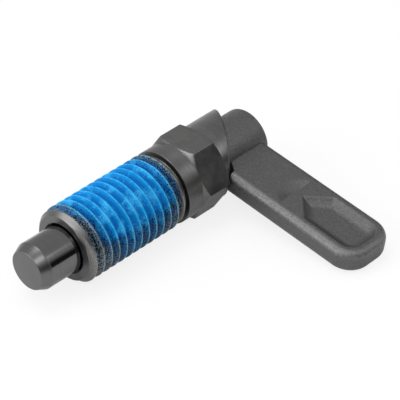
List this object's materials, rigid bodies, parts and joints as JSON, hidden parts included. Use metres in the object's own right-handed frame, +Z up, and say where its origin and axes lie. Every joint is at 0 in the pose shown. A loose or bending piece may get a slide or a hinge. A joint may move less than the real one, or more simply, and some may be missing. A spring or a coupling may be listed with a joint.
{
  "type": "locking bolt",
  "caption": "Locking bolt: a sprung round pin in a threaded sleeve with a hexagon, drawn back over an oblique cam by a flat lever.",
  "frame": {"origin": "on the bolt's axis, in the plane of the hexagon's front edge, where the plain collar ends", "axes": "+Y along the bolt's axis from the locking pin towards the lever, +Z up from the flat that the bolt lies on, +X towards the lever's tip"},
  "size_m": [0.0497, 0.061, 0.016],
  "materials": {
    "black_oxide_steel": "satin",
    "ground_steel": "satin",
    "lever_coating": "fine texture, matt",
    "lock_patch": "matt",
    "spring_steel": "bright"
  },
  "bodies": {
    "sleeve": {"threaded_body": "black_oxide_steel", "thread_lock_patch": "lock_patch", "return_spring": "spring_steel"},
    "plunger": {"locking_pin": "ground_steel", "retaining_washer": "spring_steel"},
    "lever": {"lever": "lever_coating"}
  },
  "joints": [
    {"name": "plunge", "type": "slide", "parent": "sleeve", "child": "plunger", "axis": [0, 1, 0], "range_m": [0, 0.012], "stiffness_N_per_m": 3100, "springref_m": -0.008, "deforming": ["return_spring"]},
    {"name": "lever_turn", "type": "hinge", "parent": "plunger", "child": "lever", "pos_m": [0, 0.0137, 0], "axis": [0, -1, 0], "range_deg": [0, 180]}
  ],
  "couplings": [
    {"joint": "lever_turn", "follows": "plunge", "rad_per_m": 261.8}
  ]
}
